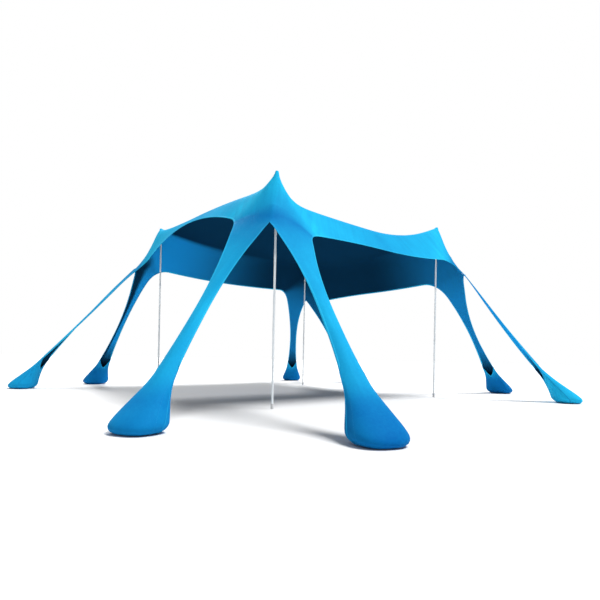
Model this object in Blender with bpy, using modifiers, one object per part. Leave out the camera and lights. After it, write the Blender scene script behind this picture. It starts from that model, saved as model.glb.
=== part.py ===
"""Beach sun shelter: one stretch-fabric sheet over four poles, pulled out by eight sand pockets.

Frame: the poles stand on a square whose sides lie along X and Y, +Z is up and the ground is z = 0.
The origin is under the middle of the whole outline, pockets included, and SQUARE_CENTRE is the
middle of the poles' square, which every sub-part is placed from.
Each corner has two flat fabric arms. Corners are named front (+X -Y), right (+X +Y), back (-X +Y)
and left (-X -Y), and an arm is named after its corner and the side of the square it belongs to.
"""
import math

import bmesh
import bpy
import numpy as np

# Driving dimensions, in metres and degrees
SQUARE_CENTRE = (-0.066, -0.067)
POLE_SPACING = 2.37
POLE_HEIGHT = 2.00
POLE_RADIUS = 0.0095
POLE_SECTION_JOINTS = (0.68, 1.32)
FOOT_RADIUS = 0.013
FOOT_HEIGHT = 0.045
CAP_RADIUS = 0.0135
CAP_HEIGHT = 0.046

SHEET_THICKNESS = 0.004
GAP = 0.0003
TIP_STEP = 0.0195
TIP_FLAT = 0.0215
SIDE_EDGE_OUT = 0.26
SIDE_EDGE_OUT_MIDDLE = 0.22
ARCH_OUT = 0.31
ARM_WIDTH = 0.100
FLARE = 0.028
FLARE_LENGTH = 0.16
KNEE_SHARE = 0.60
KNEE_BEND = 0.30
ROOT_MIDDLE = 0.52
FILLET_ARM = 0.19
FILLET_SIDE = 0.14
EDGE_EASE = 0.70
NECK_HEIGHT = 0.36
TOE_OUT = 0.150
CREASE_CURVE = 1.3
RIDGE_WIDTH = 0.05
RIDGE_STIFFNESS = 3000.0
HORN_LENGTH = 0.07
SHEET_LIFT = 0.10

# Each corner: signs of X and Y, heights of the arch between its two arms and of the crease over it
CORNERS = {
    "front": ((1, -1), 1.495, 1.66),
    "right": ((1, 1), 1.465, 1.65),
    "back": ((-1, 1), 1.40, 1.60),
    "left": ((-1, -1), 1.52, 1.68),
}
# Each side of the square: heights of its edge and of its ridge at the middle
SIDES = {
    ("x", 1): (1.495, 1.735),
    ("y", 1): (1.36, 1.80),
    ("x", -1): (1.47, 1.885),
    ("y", -1): (1.77, 1.915),
}
# Each arm: its corner, its side of the square, height of the sheet's side corner above it, how far that
# corner lies inside the pole, height of the ridge beside the pole's tip, reach of its pocket from the
# pole, turn from the diagonal, sag of its middle
ARMS = {
    "front_left": ("front", "y", 1.63, 0.21, 1.865, 1.43, 23.0, 0.030),
    "front_right": ("front", "x", 1.46, 0.165, 1.760, 1.61, 28.0, 0.038),
    "right_front": ("right", "x", 1.545, 0.13, 2.000, 1.39, 12.0, 0.108),
    "right_rear": ("right", "y", 1.385, 0.195, 1.980, 1.475, 41.8, 0.073),
    "back_right": ("back", "y", 1.34, 0.18, 1.900, 1.435, 33.5, 0.030),
    "back_left": ("back", "x", 1.493, 0.20, 1.930, 1.38, 13.4, 0.010),
    "left_rear": ("left", "x", 1.518, 0.08, 2.000, 1.447, 31.5, 0.048),
    "left_front": ("left", "y", 1.557, 0.12, 1.965, 1.57, 11.5, 0.005),
}

# Sand pocket, as horizontal slices: height, half width, reach inwards, bulge of the outer face
POCKET_SLICES = (
    (0.000, 0.132, -0.120, -0.022),
    (0.020, 0.146, -0.150, 0.008),
    (0.060, 0.150, -0.170, 0.020),
    (0.110, 0.142, -0.182, 0.020),
    (0.160, 0.127, -0.192, 0.014),
    (0.210, 0.112, -0.212, 0.008),
)
# Above the sand the pocket is its outer face and the lip of its mouth: height, half width, thickness
POCKET_MOUTH = ((0.260, 0.098, 0.066), (0.310, 0.087, 0.042))
NECK_THICKNESS = 0.020
POCKET_ROUNDNESS = 2.5
POCKET_POINTS = 20

# Grid that the sheet is solved on, and every how many of its lines the mesh takes
ARM_ROWS = 32
REFINE = 4
MESH_STEP = 2
PEAK_DISTANCES = (ARCH_OUT, 0.175, 0.095, 0.050, TIP_STEP, 0.0)
ROOF_DISTANCES = (0.0, TIP_STEP, 0.055, 0.105, 0.180, 0.300, 0.470, 0.700, 0.980, 1.300)
ACROSS_AT_PEAK = (0.0, 0.085, 0.20, 0.37, 0.63, 1.0)
RIDGE_COLUMN = 12
ARM_ROWS_TO_EVEN = 12
ROOF_ROWS_TO_EVEN = 16
ROOT_SHARE = 0.86
SOLVER_STEPS = 1500
START_HEIGHT = 1.6

HALF = POLE_SPACING / 2
TIP_HEIGHT = POLE_HEIGHT + SHEET_THICKNESS + GAP
CREASE_ROW = ARM_ROWS + REFINE
POLE_ROW = ARM_ROWS + REFINE * (len(PEAK_DISTANCES) - 1)
COLUMNS = REFINE * (len(ACROSS_AT_PEAK) - 1) + 1
ARM_CELLS = ARM_ROWS // MESH_STEP
POLE = np.array([HALF, HALF])
OUTWARD = np.array([1.0, 1.0]) / math.sqrt(2)


def clear_scene():
    """Remove every object, so that the script can run in any open file."""
    for item in list(bpy.data.objects):
        bpy.data.objects.remove(item, do_unlink=True)


def make_material(name, color, roughness, metallic=0.0):
    """One Principled material with a plain colour."""
    material = bpy.data.materials.new(name)
    material.use_nodes = True
    shader = material.node_tree.nodes["Principled BSDF"]
    shader.inputs["Base Color"].default_value = (*color, 1.0)
    shader.inputs["Roughness"].default_value = roughness
    shader.inputs["Metallic"].default_value = metallic
    material.diffuse_color = (*color, 1.0)
    return material


def add_object(name, mesh, material, collection):
    """Put a mesh in the scene as one named sub-part."""
    item = bpy.data.objects.new(name, mesh)
    mesh.materials.append(material)
    collection.objects.link(item)
    return item


def lerp(a, b, t):
    """The point a share t of the way from a to b."""
    return np.asarray(a) + (np.asarray(b) - np.asarray(a)) * t


def arc_lengths(points):
    """Distance along a polyline to each of its points."""
    steps = np.linalg.norm(np.diff(points, axis=0), axis=1)
    return np.concatenate([[0.0], np.cumsum(steps)])


def sample(points, distances):
    """Points at the given distances along a polyline."""
    along = arc_lengths(points)
    return np.stack([np.interp(distances, along, points[:, k]) for k in range(points.shape[1])], axis=1)


def bezier(start, control, end, count):
    """A quadratic curve that starts and ends along the lines to its control point."""
    t = np.linspace(0.0, 1.0, count)[:, None]
    return (1 - t) ** 2 * start + 2 * t * (1 - t) * control + t ** 2 * end


def unit(v):
    """The vector's direction."""
    return v / np.linalg.norm(v)


def finer(values):
    """The values, with each step between them cut into equal parts."""
    steps = np.linspace(0.0, len(values) - 1.0, (len(values) - 1) * REFINE + 1)
    return np.interp(steps, np.arange(len(values)), values)


def side_edge_point(along):
    """Plan point on the +X side edge at a distance along the side from its middle."""
    out = lerp(SIDE_EDGE_OUT_MIDDLE, SIDE_EDGE_OUT, (abs(along) / HALF) ** 2)
    return np.array([HALF + out, along])


class Arm:
    """One arm in the reference octant, which lies between +X and the diagonal of the +X +Y corner."""

    def __init__(self, corner, side, corner_height, inset, shoulder, reach, turn, sag):
        self.signs, self.arch_height, self.crease_height = CORNERS[corner]
        self.side = side
        self.corner_height = corner_height
        self.corner_along = HALF - inset
        self.edge_middle, self.ridge_middle = SIDES[(side, self.signs["xy".index(side)])]
        self.shoulder = shoulder
        self.arch = POLE + OUTWARD * ARCH_OUT
        self.root_corner = side_edge_point(self.corner_along)
        bearing = math.radians(45.0 - turn)
        self.pocket = POLE + reach * np.array([math.cos(bearing), math.sin(bearing)])
        self.root = lerp(self.arch, self.root_corner, ROOT_MIDDLE)
        self.along = unit(self.pocket - self.root)
        self.across = np.array([-self.along[1], self.along[0]])
        self.length = float(np.linalg.norm(self.pocket - self.root)) + TOE_OUT
        self.dip = 4 * sag
        rise = (corner_height + self.arch_height) / 2 - self.dip
        self.neck_share = (math.sqrt(rise ** 2 + 4 * self.dip * NECK_HEIGHT) - rise) / (2 * self.dip)
        self.neck_back = self.neck_share * self.length - TOE_OUT
        self.neck = self.pocket - self.along * self.neck_back

    def height(self, share, top):
        """Height of an edge at a share of the way from the neck to its top."""
        q = self.neck_share + (1.0 - self.neck_share) * share
        line = top * q - self.dip * q * (1.0 - q)
        low = top * self.neck_share - self.dip * self.neck_share * (1.0 - self.neck_share)
        return NECK_HEIGHT + (line - low) * (top - NECK_HEIGHT) / (top - low)

    def edge(self, sign, target):
        """Plan of an edge of the arm: straight from the neck to the knee, then bent towards its target."""
        start = self.neck + sign * self.across * ARM_WIDTH / 2
        knee = start + (self.root - self.neck) * KNEE_SHARE
        bend_start = knee + unit(start - knee) * KNEE_BEND
        bend = min(KNEE_BEND, 0.55 * float(np.linalg.norm(target - knee)))
        bend_end = knee + unit(target - knee) * bend
        straight = lerp(start, bend_start, np.linspace(0, 1, 20)[:, None])
        line = np.concatenate([straight, bezier(bend_start, knee, bend_end, 40)[1:]])
        spread = FLARE * np.exp(-arc_lengths(line) / FLARE_LENGTH)
        return line + sign * spread[:, None] * self.across

    def inner_line(self):
        """Plan of the edge towards the corner's arch, from the neck to the arch."""
        line = self.edge(1, self.arch)
        return np.concatenate([line, lerp(line[-1], self.arch, np.linspace(0, 1, 30)[1:, None])])

    def outer_line(self):
        """Plan of the edge towards the side, from the neck round the side corner."""
        line = self.edge(-1, self.root_corner)
        back = line[-1] - self.root_corner
        turn_start = self.root_corner + unit(back) * min(FILLET_ARM, 0.9 * float(np.linalg.norm(back)))
        turn_end = side_edge_point(self.corner_along - FILLET_SIDE)
        return np.concatenate([line, lerp(line[-1], turn_start, np.linspace(0, 1, 20)[1:, None]),
                               bezier(turn_start, self.root_corner, turn_end, 50)[1:]])

    def place(self, plan):
        """Turn plan points in the reference octant into this arm's real corner and side."""
        placed = plan if self.side == "x" else plan[..., ::-1]
        return placed * np.array(self.signs, dtype=float)


def octant_lines(arm):
    """Ends of the grid's rows: from the neck up to the arch, past the pole and on to the middle."""
    inner, outer = arm.inner_line(), arm.outer_line()
    outer_length = arc_lengths(outer)[-1]
    half_diagonal = HALF * math.sqrt(2)
    peak_distances = finer(PEAK_DISTANCES)[1:]
    roof_distances = finer(ROOF_DISTANCES + (half_diagonal,))[1:]
    arm_steps = np.linspace(0.0, 1.0, ARM_ROWS + 1)
    peak_steps = np.linspace(ROOT_SHARE, 1.0, len(peak_distances) + 1)[1:]
    line_in = np.concatenate([sample(inner, arm_steps * arc_lengths(inner)[-1]),
                              POLE + OUTWARD * peak_distances[:, None],
                              POLE - OUTWARD * roof_distances[:, None]])
    line_out = np.concatenate([sample(outer, arm_steps * outer_length * ROOT_SHARE),
                               sample(outer, peak_steps * outer_length),
                               [side_edge_point(outer[-1][1] * (1.0 - d / half_diagonal))
                                for d in roof_distances]])
    return line_in, line_out


def octant_grid(arm):
    """Plan points and fixed heights of one eighth of the sheet; free heights are nan."""
    line_in, line_out = octant_lines(arm)
    row = np.arange(len(line_in))
    past_arm = (row - ARM_ROWS + ARM_ROWS_TO_EVEN) / ARM_ROWS_TO_EVEN
    past_pole = 1.0 - (row - POLE_ROW) / ROOF_ROWS_TO_EVEN
    weight = np.clip(np.minimum(past_arm, past_pole), 0.0, 1.0)[:, None]
    even = np.tile(np.linspace(0.0, 1.0, COLUMNS), (len(row), 1))
    for r in range(POLE_ROW + 1, len(row)):
        on_ridge = (HALF - line_in[r, 0]) / (line_out[r, 0] - line_in[r, 0])
        even[r] = np.interp(np.arange(COLUMNS), (0, RIDGE_COLUMN, COLUMNS - 1), (0.0, on_ridge, 1.0))
    share = lerp(even, finer(ACROSS_AT_PEAK), weight)
    plan = lerp(line_in[:, None], line_out[:, None], share[..., None])

    height = np.full(plan.shape[:2], np.nan)
    along_in = arc_lengths(line_in[:ARM_ROWS + 1])
    height[:ARM_ROWS + 1, 0] = arm.height(along_in / along_in[-1], arm.arch_height)
    along_out = arc_lengths(line_out[:POLE_ROW + 1])
    q = along_out / along_out[-1]
    rise = (q - np.clip(q - EDGE_EASE, 0.0, None) ** 2 / (2 * (1 - EDGE_EASE))) * 2.0 / (1 + EDGE_EASE)
    height[:POLE_ROW + 1, -1] = lerp(NECK_HEIGHT, arm.corner_height, rise)
    edge_share = line_out[POLE_ROW:, 1] / line_out[POLE_ROW, 1]
    height[POLE_ROW:, -1] = lerp(arm.edge_middle, arm.corner_height, edge_share ** 2)
    height[0, :] = NECK_HEIGHT
    height[CREASE_ROW] = lerp(arm.crease_height, height[CREASE_ROW, -1], share[CREASE_ROW] ** CREASE_CURVE)
    height[np.linalg.norm(plan - POLE, axis=-1) <= TIP_FLAT] = TIP_HEIGHT
    return plan, height


def film_equations(arm, plan):
    """The film's pull between pairs of grid nodes, its load on each node and its hold on each node.

    Each cell of the grid is four overlapping half triangles. The film is held softly to the ridge.
    """
    rows, cols = plan.shape[:2]
    node = np.arange(rows * cols).reshape(rows, cols)
    a, b, c, d = node[:-1, :-1], node[1:, :-1], node[1:, 1:], node[:-1, 1:]
    corners = np.concatenate([np.stack([x.ravel(), y.ravel(), z.ravel()], axis=1)
                              for x, y, z in ((a, b, c), (a, c, d), (a, b, d), (b, c, d))])
    flat = plan.reshape(-1, 2)
    middle = flat[corners].mean(axis=1)
    from_tip = np.clip(HALF - middle[:, 1], 0.0, None)
    ridge = (arm.ridge_middle + (arm.shoulder - arm.ridge_middle) * (1.0 - from_tip / HALF) ** 2
             + (TIP_HEIGHT - arm.shoulder) * np.exp(-from_tip / HORN_LENGTH))
    stiff = RIDGE_STIFFNESS * np.exp(-((middle[:, 0] - HALF) / RIDGE_WIDTH) ** 2) * (middle[:, 1] < HALF)
    edges = [flat[corners[:, (k + 2) % 3]] - flat[corners[:, (k + 1) % 3]] for k in range(3)]
    area = np.abs(edges[0][:, 0] * edges[1][:, 1] - edges[0][:, 1] * edges[1][:, 0]) / 2
    first, second, weight = [], [], []
    for k in range(3):
        m = (k + 1) % 3
        first.append(corners[:, k])
        second.append(corners[:, m])
        weight.append(-(edges[k] * edges[m]).sum(axis=1) / (8.0 * np.maximum(area, 1e-9)))
    load = np.zeros(rows * cols)
    np.add.at(load, corners, ((SHEET_LIFT + stiff * ridge) * area / 6.0)[:, None])
    hold = np.zeros(rows * cols)
    np.add.at(hold, corners, (stiff * area / 6.0)[:, None])
    return np.concatenate(first), np.concatenate(second), np.concatenate(weight), load, hold


def solve_film(first, second, weight, load, hold, height):
    """Heights at which every free node is in balance, by conjugate gradients."""
    count = len(height)
    free = np.isnan(height)
    height = np.where(free, START_HEIGHT, height)

    def pull_at(h):
        flow = weight * (h[first] - h[second])
        return np.bincount(first, flow, count) - np.bincount(second, flow, count) + hold * h

    diagonal = np.bincount(first, weight, count) + np.bincount(second, weight, count) + hold
    residual = np.where(free, load - pull_at(height), 0.0)
    scaled = residual / diagonal
    direction = scaled.copy()
    energy = residual @ scaled
    for _ in range(SOLVER_STEPS):
        pushed = np.where(free, pull_at(direction), 0.0)
        step = energy / (direction @ pushed)
        height = height + step * direction
        residual = residual - step * pushed
        scaled = residual / diagonal
        before, energy = energy, residual @ scaled
        if energy < 1e-16:
            break
        direction = scaled + energy / before * direction
    return height


def sheet_points(arms):
    """The sheet as a grid of points for each arm's octant, solved over all eight octants at once."""
    grids = {name: octant_grid(arm) for name, arm in arms.items()}
    keys, ids = {}, {}
    for name, arm in arms.items():
        places = np.round(arm.place(grids[name][0]).reshape(-1, 2), 5) + 0.0
        ids[name] = np.array([keys.setdefault(tuple(place), len(keys)) for place in places])
    load = np.zeros(len(keys))
    hold = np.zeros(len(keys))
    height = np.full(len(keys), np.nan)
    pulls = []
    for name, arm in arms.items():
        plan, known = grids[name]
        first, second, weight, octant_load, octant_hold = film_equations(arm, plan)
        pulls.append((ids[name][first], ids[name][second], weight))
        np.add.at(load, ids[name], octant_load)
        np.add.at(hold, ids[name], octant_hold)
        fixed = ~np.isnan(known.ravel())
        height[ids[name][fixed]] = known.ravel()[fixed]
    height = solve_film(*(np.concatenate(part) for part in zip(*pulls)), load, hold, height)
    sheet = {}
    for name, arm in arms.items():
        plan = grids[name][0]
        z = height[ids[name]].reshape(plan.shape[:2])
        sheet[name] = np.dstack([arm.place(plan), z])[::MESH_STEP, ::MESH_STEP]
    return sheet


def grid_shell(name, points, material, collection):
    """A closed shell under a grid of points: the sheet's thickness is measured straight down."""
    rows, cols = points.shape[:2]
    mesh = bpy.data.meshes.new(name)
    graph = bmesh.new()
    bmesh.ops.create_grid(graph, x_segments=cols - 1, y_segments=rows - 1, size=1.0)
    in_order = sorted(graph.verts, key=lambda v: (round(v.co.y, 4), round(v.co.x, 4)))
    for vertex, place in zip(in_order, points.reshape(-1, 3)):
        vertex.co = place
    lifted = bmesh.ops.extrude_face_region(graph, geom=graph.faces[:])["geom"]
    lower = [item for item in lifted if isinstance(item, bmesh.types.BMVert)]
    bmesh.ops.translate(graph, verts=lower, vec=(0.0, 0.0, -SHEET_THICKNESS))
    bmesh.ops.recalc_face_normals(graph, faces=graph.faces)
    graph.to_mesh(mesh)
    graph.free()
    mesh.shade_smooth()
    return add_object(name, mesh, material, collection)


def pull_back(points, towards, distance):
    """Move each point a short distance towards its neighbour."""
    step = towards - points
    return points + step / np.linalg.norm(step, axis=-1, keepdims=True) * distance


def add_canopy(arms, sheet, material, collection):
    """Four roof panels, one over each corner, meeting on the centre lines."""
    for corner, (signs, _, _) in CORNERS.items():
        first, second = [name for name in arms if ARMS[name][0] == corner]
        left = sheet[first][ARM_CELLS:]
        right = sheet[second][ARM_CELLS:]
        points = np.concatenate([left[:, :0:-1], right], axis=1)
        points[0] = pull_back(points[0], points[1], GAP / 2)
        for axis in (0, 1):
            on_line = np.abs(points[..., axis]) < GAP
            points[..., axis][on_line] = signs[axis] * GAP / 2
        grid_shell(f"canopy_{corner}", points, material, collection)


def add_arms(sheet, material, collection):
    """Eight flat arms, from the canopy's edge to the necks of the sand pockets."""
    for name in ARMS:
        points = sheet[name][:ARM_CELLS + 1].copy()
        points[-1] = pull_back(points[-1], points[-2], GAP / 2)
        points[-1, 0] = pull_back(points[-1, 0], points[-1, 1], 3 * SHEET_THICKNESS)
        grid_shell(f"arm_{name}", points, material, collection)


def pocket_ring(height, half_width, out, inward):
    """One horizontal slice of a sand pocket, in the pocket's own frame with +Y outwards."""
    middle = (out + inward) / 2
    half_depth = (out - inward) / 2
    power = 2.0 / POCKET_ROUNDNESS
    points = []
    for k in range(POCKET_POINTS):
        angle = 2 * math.pi * k / POCKET_POINTS
        c, s = math.cos(angle), math.sin(angle)
        points.append((half_width * math.copysign(abs(c) ** power, c),
                       middle + half_depth * math.copysign(abs(s) ** power, s), height))
    return points


def pocket_rings(arm):
    """The pocket's slices: its outer face carries the arm's straight line down to the toe."""
    run = (TOE_OUT + arm.neck_back) / NECK_HEIGHT
    rings = []
    for height, half_width, inward, bulge in POCKET_SLICES:
        rings.append(pocket_ring(height, half_width, TOE_OUT - run * height + bulge, inward))
    neck = (NECK_HEIGHT - SHEET_THICKNESS - GAP, ARM_WIDTH / 2 + FLARE, NECK_THICKNESS)
    for height, half_width, thickness in POCKET_MOUTH + (neck,):
        out = TOE_OUT - run * height
        rings.append(pocket_ring(height, half_width, out, out - thickness))
    return rings


def add_pockets(arms, material, collection):
    """Eight sand-filled pockets: flat-based bags that narrow up to the necks of the arms."""
    for name, arm in arms.items():
        mesh = bpy.data.meshes.new(f"pocket_{name}")
        graph = bmesh.new()
        rings = [[graph.verts.new(point) for point in ring] for ring in pocket_rings(arm)]
        for low, high in zip(rings, rings[1:]):
            for k in range(POCKET_POINTS):
                n = (k + 1) % POCKET_POINTS
                graph.faces.new((low[k], low[n], high[n], high[k]))
        graph.faces.new(rings[0][::-1])
        graph.faces.new(rings[-1])
        graph.to_mesh(mesh)
        graph.free()
        mesh.shade_smooth()
        item = add_object(f"sand_pocket_{name}", mesh, material, collection)
        place = arm.place(arm.pocket)
        direction = arm.place(arm.along)
        item.location = (place[0], place[1], 0.0)
        item.rotation_euler = (0.0, 0.0, math.atan2(direction[1], direction[0]) - math.pi / 2)


def add_tube(name, low, high, radius, material, collection):
    """One round tube section of a pole, standing between two heights."""
    bpy.ops.mesh.primitive_cylinder_add(vertices=12, radius=radius, depth=high - low,
                                        location=(0, 0, (low + high) / 2))
    item = bpy.context.active_object
    item.name = name
    item.data.name = name
    for other in list(item.users_collection):
        other.objects.unlink(item)
    collection.objects.link(item)
    item.data.materials.append(material)
    item.data.shade_smooth()
    item.data.set_sharp_from_angle(angle=math.radians(40))
    return item


def add_turned(name, profile, material, collection):
    """A turned piece from a profile of (radius, height) points that runs from top to bottom."""
    mesh = bpy.data.meshes.new(name)
    mesh.from_pydata([(radius, 0.0, height) for radius, height in profile],
                     [(k, k + 1) for k in range(len(profile) - 1)], [])
    item = add_object(name, mesh, material, collection)
    turn = item.modifiers.new("turn", "SCREW")
    turn.steps = 12
    turn.render_steps = 12
    turn.use_merge_vertices = True
    turn.merge_threshold = 0.0001
    return item


def add_poles(tube_material, fitting_material, collection):
    """Four upright poles: moulded foot, three tube sections and a rounded cap under the sheet."""
    tube_top = POLE_HEIGHT - CAP_HEIGHT
    ends = (FOOT_HEIGHT,) + POLE_SECTION_JOINTS + (tube_top,)
    foot_profile = ((0.0, FOOT_HEIGHT), (FOOT_RADIUS * 0.86, FOOT_HEIGHT), (FOOT_RADIUS, FOOT_HEIGHT * 0.8),
                    (FOOT_RADIUS, FOOT_HEIGHT * 0.1), (FOOT_RADIUS * 0.9, 0.0), (0.0, 0.0))
    cap_shape = ((0.0, 1.0), (0.42, 0.985), (0.74, 0.91), (0.95, 0.78), (1.0, 0.62), (0.93, 0.46),
                 (0.72, 0.30), (0.68, 0.0), (0.0, 0.0))
    cap_profile = [(CAP_RADIUS * r, tube_top + CAP_HEIGHT * h) for r, h in cap_shape]
    for corner, (signs, _, _) in CORNERS.items():
        pieces = [add_turned(f"pole_{corner}_foot", foot_profile, fitting_material, collection)]
        for level, low, high in zip(("lower", "middle", "upper"), ends, ends[1:]):
            pieces.append(add_tube(f"pole_{corner}_{level}", low + GAP, high - GAP / 2,
                                   POLE_RADIUS, tube_material, collection))
        pieces.append(add_turned(f"pole_{corner}_cap", cap_profile, fitting_material, collection))
        for piece in pieces:
            piece.location.x = signs[0] * HALF
            piece.location.y = signs[1] * HALF


def main():
    clear_scene()
    collection = bpy.data.collections.new("beach_sun_shelter")
    bpy.context.scene.collection.children.link(collection)
    canopy_fabric = make_material("canopy_fabric", (0.03, 0.42, 0.75), 0.55)
    arm_fabric = make_material("arm_fabric", (0.02, 0.33, 0.70), 0.55)
    pocket_fabric = make_material("pocket_fabric", (0.015, 0.24, 0.58), 0.6)
    pole_tube = make_material("pole_tube", (0.82, 0.83, 0.85), 0.35, 0.2)
    pole_fitting = make_material("pole_fitting", (0.62, 0.63, 0.64), 0.6)
    arms = {name: Arm(*values) for name, values in ARMS.items()}
    sheet = sheet_points(arms)
    add_canopy(arms, sheet, canopy_fabric, collection)
    add_arms(sheet, arm_fabric, collection)
    add_pockets(arms, pocket_fabric, collection)
    add_poles(pole_tube, pole_fitting, collection)
    middle = bpy.data.objects.new("pole_square_middle", None)
    collection.objects.link(middle)
    middle.location = (*SQUARE_CENTRE, 0.0)
    for item in collection.objects:
        if item is not middle:
            item.parent = middle


main()
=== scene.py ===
"""Visual model of a beach sun shelter: a stretch-fabric sheet over four poles, with eight sand pockets.

The lengths are in metres and the frame is the CAD frame: +Z up, the ground at z = 0, and the corners are
named front (+X -Y), right (+X +Y), back (-X +Y) and left (-X -Y).
"""
import math

import bmesh
import bpy
import numpy as np
from mathutils import Matrix, Vector


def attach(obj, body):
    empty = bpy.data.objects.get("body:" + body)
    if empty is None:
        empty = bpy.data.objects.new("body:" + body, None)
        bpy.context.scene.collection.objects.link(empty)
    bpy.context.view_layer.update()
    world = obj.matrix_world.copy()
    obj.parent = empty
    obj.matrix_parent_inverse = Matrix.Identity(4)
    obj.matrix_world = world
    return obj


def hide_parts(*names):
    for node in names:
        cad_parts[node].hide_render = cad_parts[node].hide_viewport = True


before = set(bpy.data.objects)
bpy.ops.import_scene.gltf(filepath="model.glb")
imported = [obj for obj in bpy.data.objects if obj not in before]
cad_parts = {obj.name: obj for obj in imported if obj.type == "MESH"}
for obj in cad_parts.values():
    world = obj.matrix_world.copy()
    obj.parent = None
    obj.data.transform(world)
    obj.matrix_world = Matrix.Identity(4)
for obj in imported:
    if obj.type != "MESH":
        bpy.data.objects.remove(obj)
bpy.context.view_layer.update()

# The camera
# A wide view from standing knee height outside the front corner, level but for a degree of roll.
SQUARE_CENTRE = np.array([-0.066, -0.067])
camera = bpy.data.objects.new("camera", bpy.data.cameras.new("camera"))
bpy.context.scene.collection.objects.link(camera)
bpy.context.scene.camera = camera
camera.data.sensor_width = 36.0
camera.data.lens = 27.0
camera.data.shift_y = 0.0907
yaw, pitch, roll = (math.radians(angle) for angle in (49.78, 0.34, 1.14))
forward = Vector((-math.sin(yaw) * math.cos(pitch), math.cos(yaw) * math.cos(pitch), math.sin(pitch)))
level = Vector((math.cos(yaw), math.sin(yaw), 0.0))
upright = level.cross(forward)
view_right = math.cos(roll) * level + math.sin(roll) * upright
view_up = -math.sin(roll) * level + math.cos(roll) * upright
camera.matrix_world = Matrix((view_right, view_up, -forward)).transposed().to_4x4()
camera.location = (4.2156 + SQUARE_CENTRE[0], -3.4526 + SQUARE_CENTRE[1], 0.4406)
camera.data.clip_start = 0.05
camera.data.clip_end = 200.0


# The floor and the light
# A plain pale studio floor under a white surround, a broad soft light from above, and a narrower one
# from behind the back corner that shines through the cloth on the far side.
class Socket:
    """A node's output in a material, which takes part in sums as a number does."""

    def __init__(self, finish, output):
        self.finish = finish
        self.output = output

    def sum(self, operation, *terms):
        return self.finish.node("ShaderNodeMath", {"operation": operation}, terms)

    def __add__(self, other):
        return self.sum("ADD", self, other)

    def __sub__(self, other):
        return self.sum("SUBTRACT", self, other)

    def __rsub__(self, other):
        return self.sum("SUBTRACT", other, self)

    def __mul__(self, other):
        return self.sum("MULTIPLY", self, other)

    __radd__ = __add__
    __rmul__ = __mul__


class Finish:
    """A material made of nodes round one Principled shader."""

    def __init__(self, name, **constants):
        self.material = bpy.data.materials.new(name)
        self.material.use_nodes = True
        self.tree = self.material.node_tree
        self.shader = self.tree.nodes["Principled BSDF"]
        for socket, value in constants.items():
            self.shader.inputs[socket.replace("_", " ")].default_value = value

    def put(self, socket, value):
        if isinstance(value, Socket):
            self.tree.links.new(value.output, socket)
        else:
            socket.default_value = value

    def node(self, kind, settings=None, inputs=(), output=0):
        """Add one node: its settings first, then the values or links of its sockets."""
        made = self.tree.nodes.new(kind)
        for name, value in (settings or {}).items():
            if name == "stops":
                ramp = made.color_ramp.elements
                while len(ramp) < len(value):
                    ramp.new(0.5)
                for stop, (place, color) in zip(ramp, value):
                    stop.position = place
                    stop.color = color
            else:
                setattr(made, name, value)
        for name, value in (inputs.items() if isinstance(inputs, dict) else enumerate(inputs)):
            self.put(made.inputs[name], value)
        return Socket(self, made.outputs[output])

    def mix(self, share, first, second):
        """A colour between two."""
        return self.node("ShaderNodeMix", {"data_type": "RGBA"}, {0: share, 6: first, 7: second}, output=2)

    def noise(self, place, scale, detail=3.0):
        return self.node("ShaderNodeTexNoise", None, {"Vector": place, "Scale": scale, "Detail": detail})

    def attribute(self, name, output=2):
        return self.node("ShaderNodeAttribute", {"attribute_name": name}, output=output)

    def feed(self, **values):
        for socket, value in values.items():
            self.put(self.shader.inputs[socket.replace("_", " ")], value)
        return self.material


paper = Finish("studio_floor", Roughness=0.9)
grain = paper.noise(paper.node("ShaderNodeTexCoord", output=3), 0.7, 2.0)
paper.feed(Base_Color=paper.mix(grain, (0.84, 0.84, 0.84, 1.0), (0.88, 0.88, 0.88, 1.0)))
bpy.ops.mesh.primitive_circle_add(vertices=96, radius=60.0, fill_type="NGON", location=(0.0, 0.0, 0.0))
floor = bpy.context.active_object
floor.name = "studio_floor"
floor.data.materials.append(paper.material)

surround = bpy.data.worlds.new("studio_surround")
surround.use_nodes = True
seen = surround.node_tree.nodes["Background"]
seen.inputs["Color"].default_value = (1.0, 1.0, 1.0, 1.0)
lit = surround.node_tree.nodes.new("ShaderNodeBackground")
lit.inputs["Color"].default_value = (1.0, 1.0, 1.0, 1.0)
lit.inputs["Strength"].default_value = 0.30
path = surround.node_tree.nodes.new("ShaderNodeLightPath")
either = surround.node_tree.nodes.new("ShaderNodeMixShader")
surround.node_tree.links.new(path.outputs["Is Camera Ray"], either.inputs[0])
surround.node_tree.links.new(lit.outputs[0], either.inputs[1])
surround.node_tree.links.new(seen.outputs[0], either.inputs[2])
surround.node_tree.links.new(either.outputs[0], surround.node_tree.nodes["World Output"].inputs["Surface"])
bpy.context.scene.world = surround
bpy.context.scene.view_settings.view_transform = "Standard"


def add_sun(name, travel, strength, angle):
    """A soft distant lamp whose light travels along a direction."""
    lamp = bpy.data.objects.new(name, bpy.data.lights.new(name, "SUN"))
    bpy.context.scene.collection.objects.link(lamp)
    lamp.data.energy = strength
    lamp.data.angle = math.radians(angle)
    lamp.rotation_euler = Vector(travel).to_track_quat("-Z", "Y").to_euler()


add_sun("key_lamp", (-0.33, -0.28, -0.90), 3.5, 25.0)
add_sun("back_lamp", (1.00, -0.50, -1.00), 1.5, 12.0)

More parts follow.
